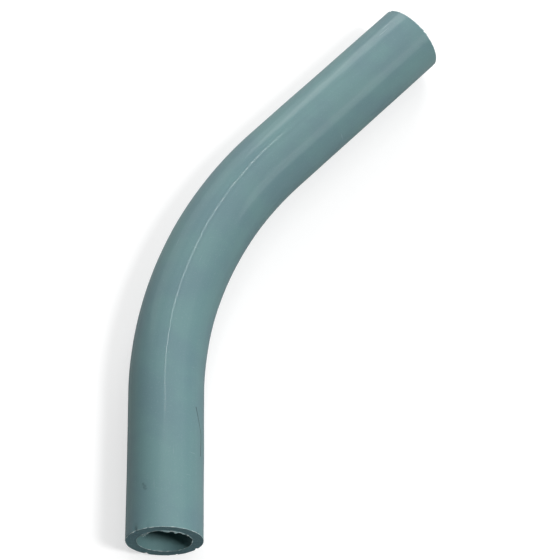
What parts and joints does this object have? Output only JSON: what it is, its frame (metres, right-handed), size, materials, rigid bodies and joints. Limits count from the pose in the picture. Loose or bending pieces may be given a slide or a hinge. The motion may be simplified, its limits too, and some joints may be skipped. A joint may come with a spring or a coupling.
{
  "type": "conduit elbow",
  "caption": "Rigid PVC conduit elbow: heavy-wall plain-ended tube with a swept 45 degree bend and unequal straight legs, for turning a run of electrical conduit.",
  "frame": {"origin": "centre of the short leg's mouth, on the tube's axis", "axes": "+Y up the short leg from its mouth, the bend turns towards +X in the XY plane, +Z square to the bend's plane; the elbow lies on its side"},
  "size_m": [0.0916, 0.1696, 0.0214],
  "materials": {
    "grey_pvc": "satin, extruded rigid PVC"
  },
  "bodies": {
    "root": {"elbow_tube": "grey_pvc"}
  },
  "joints": []
}
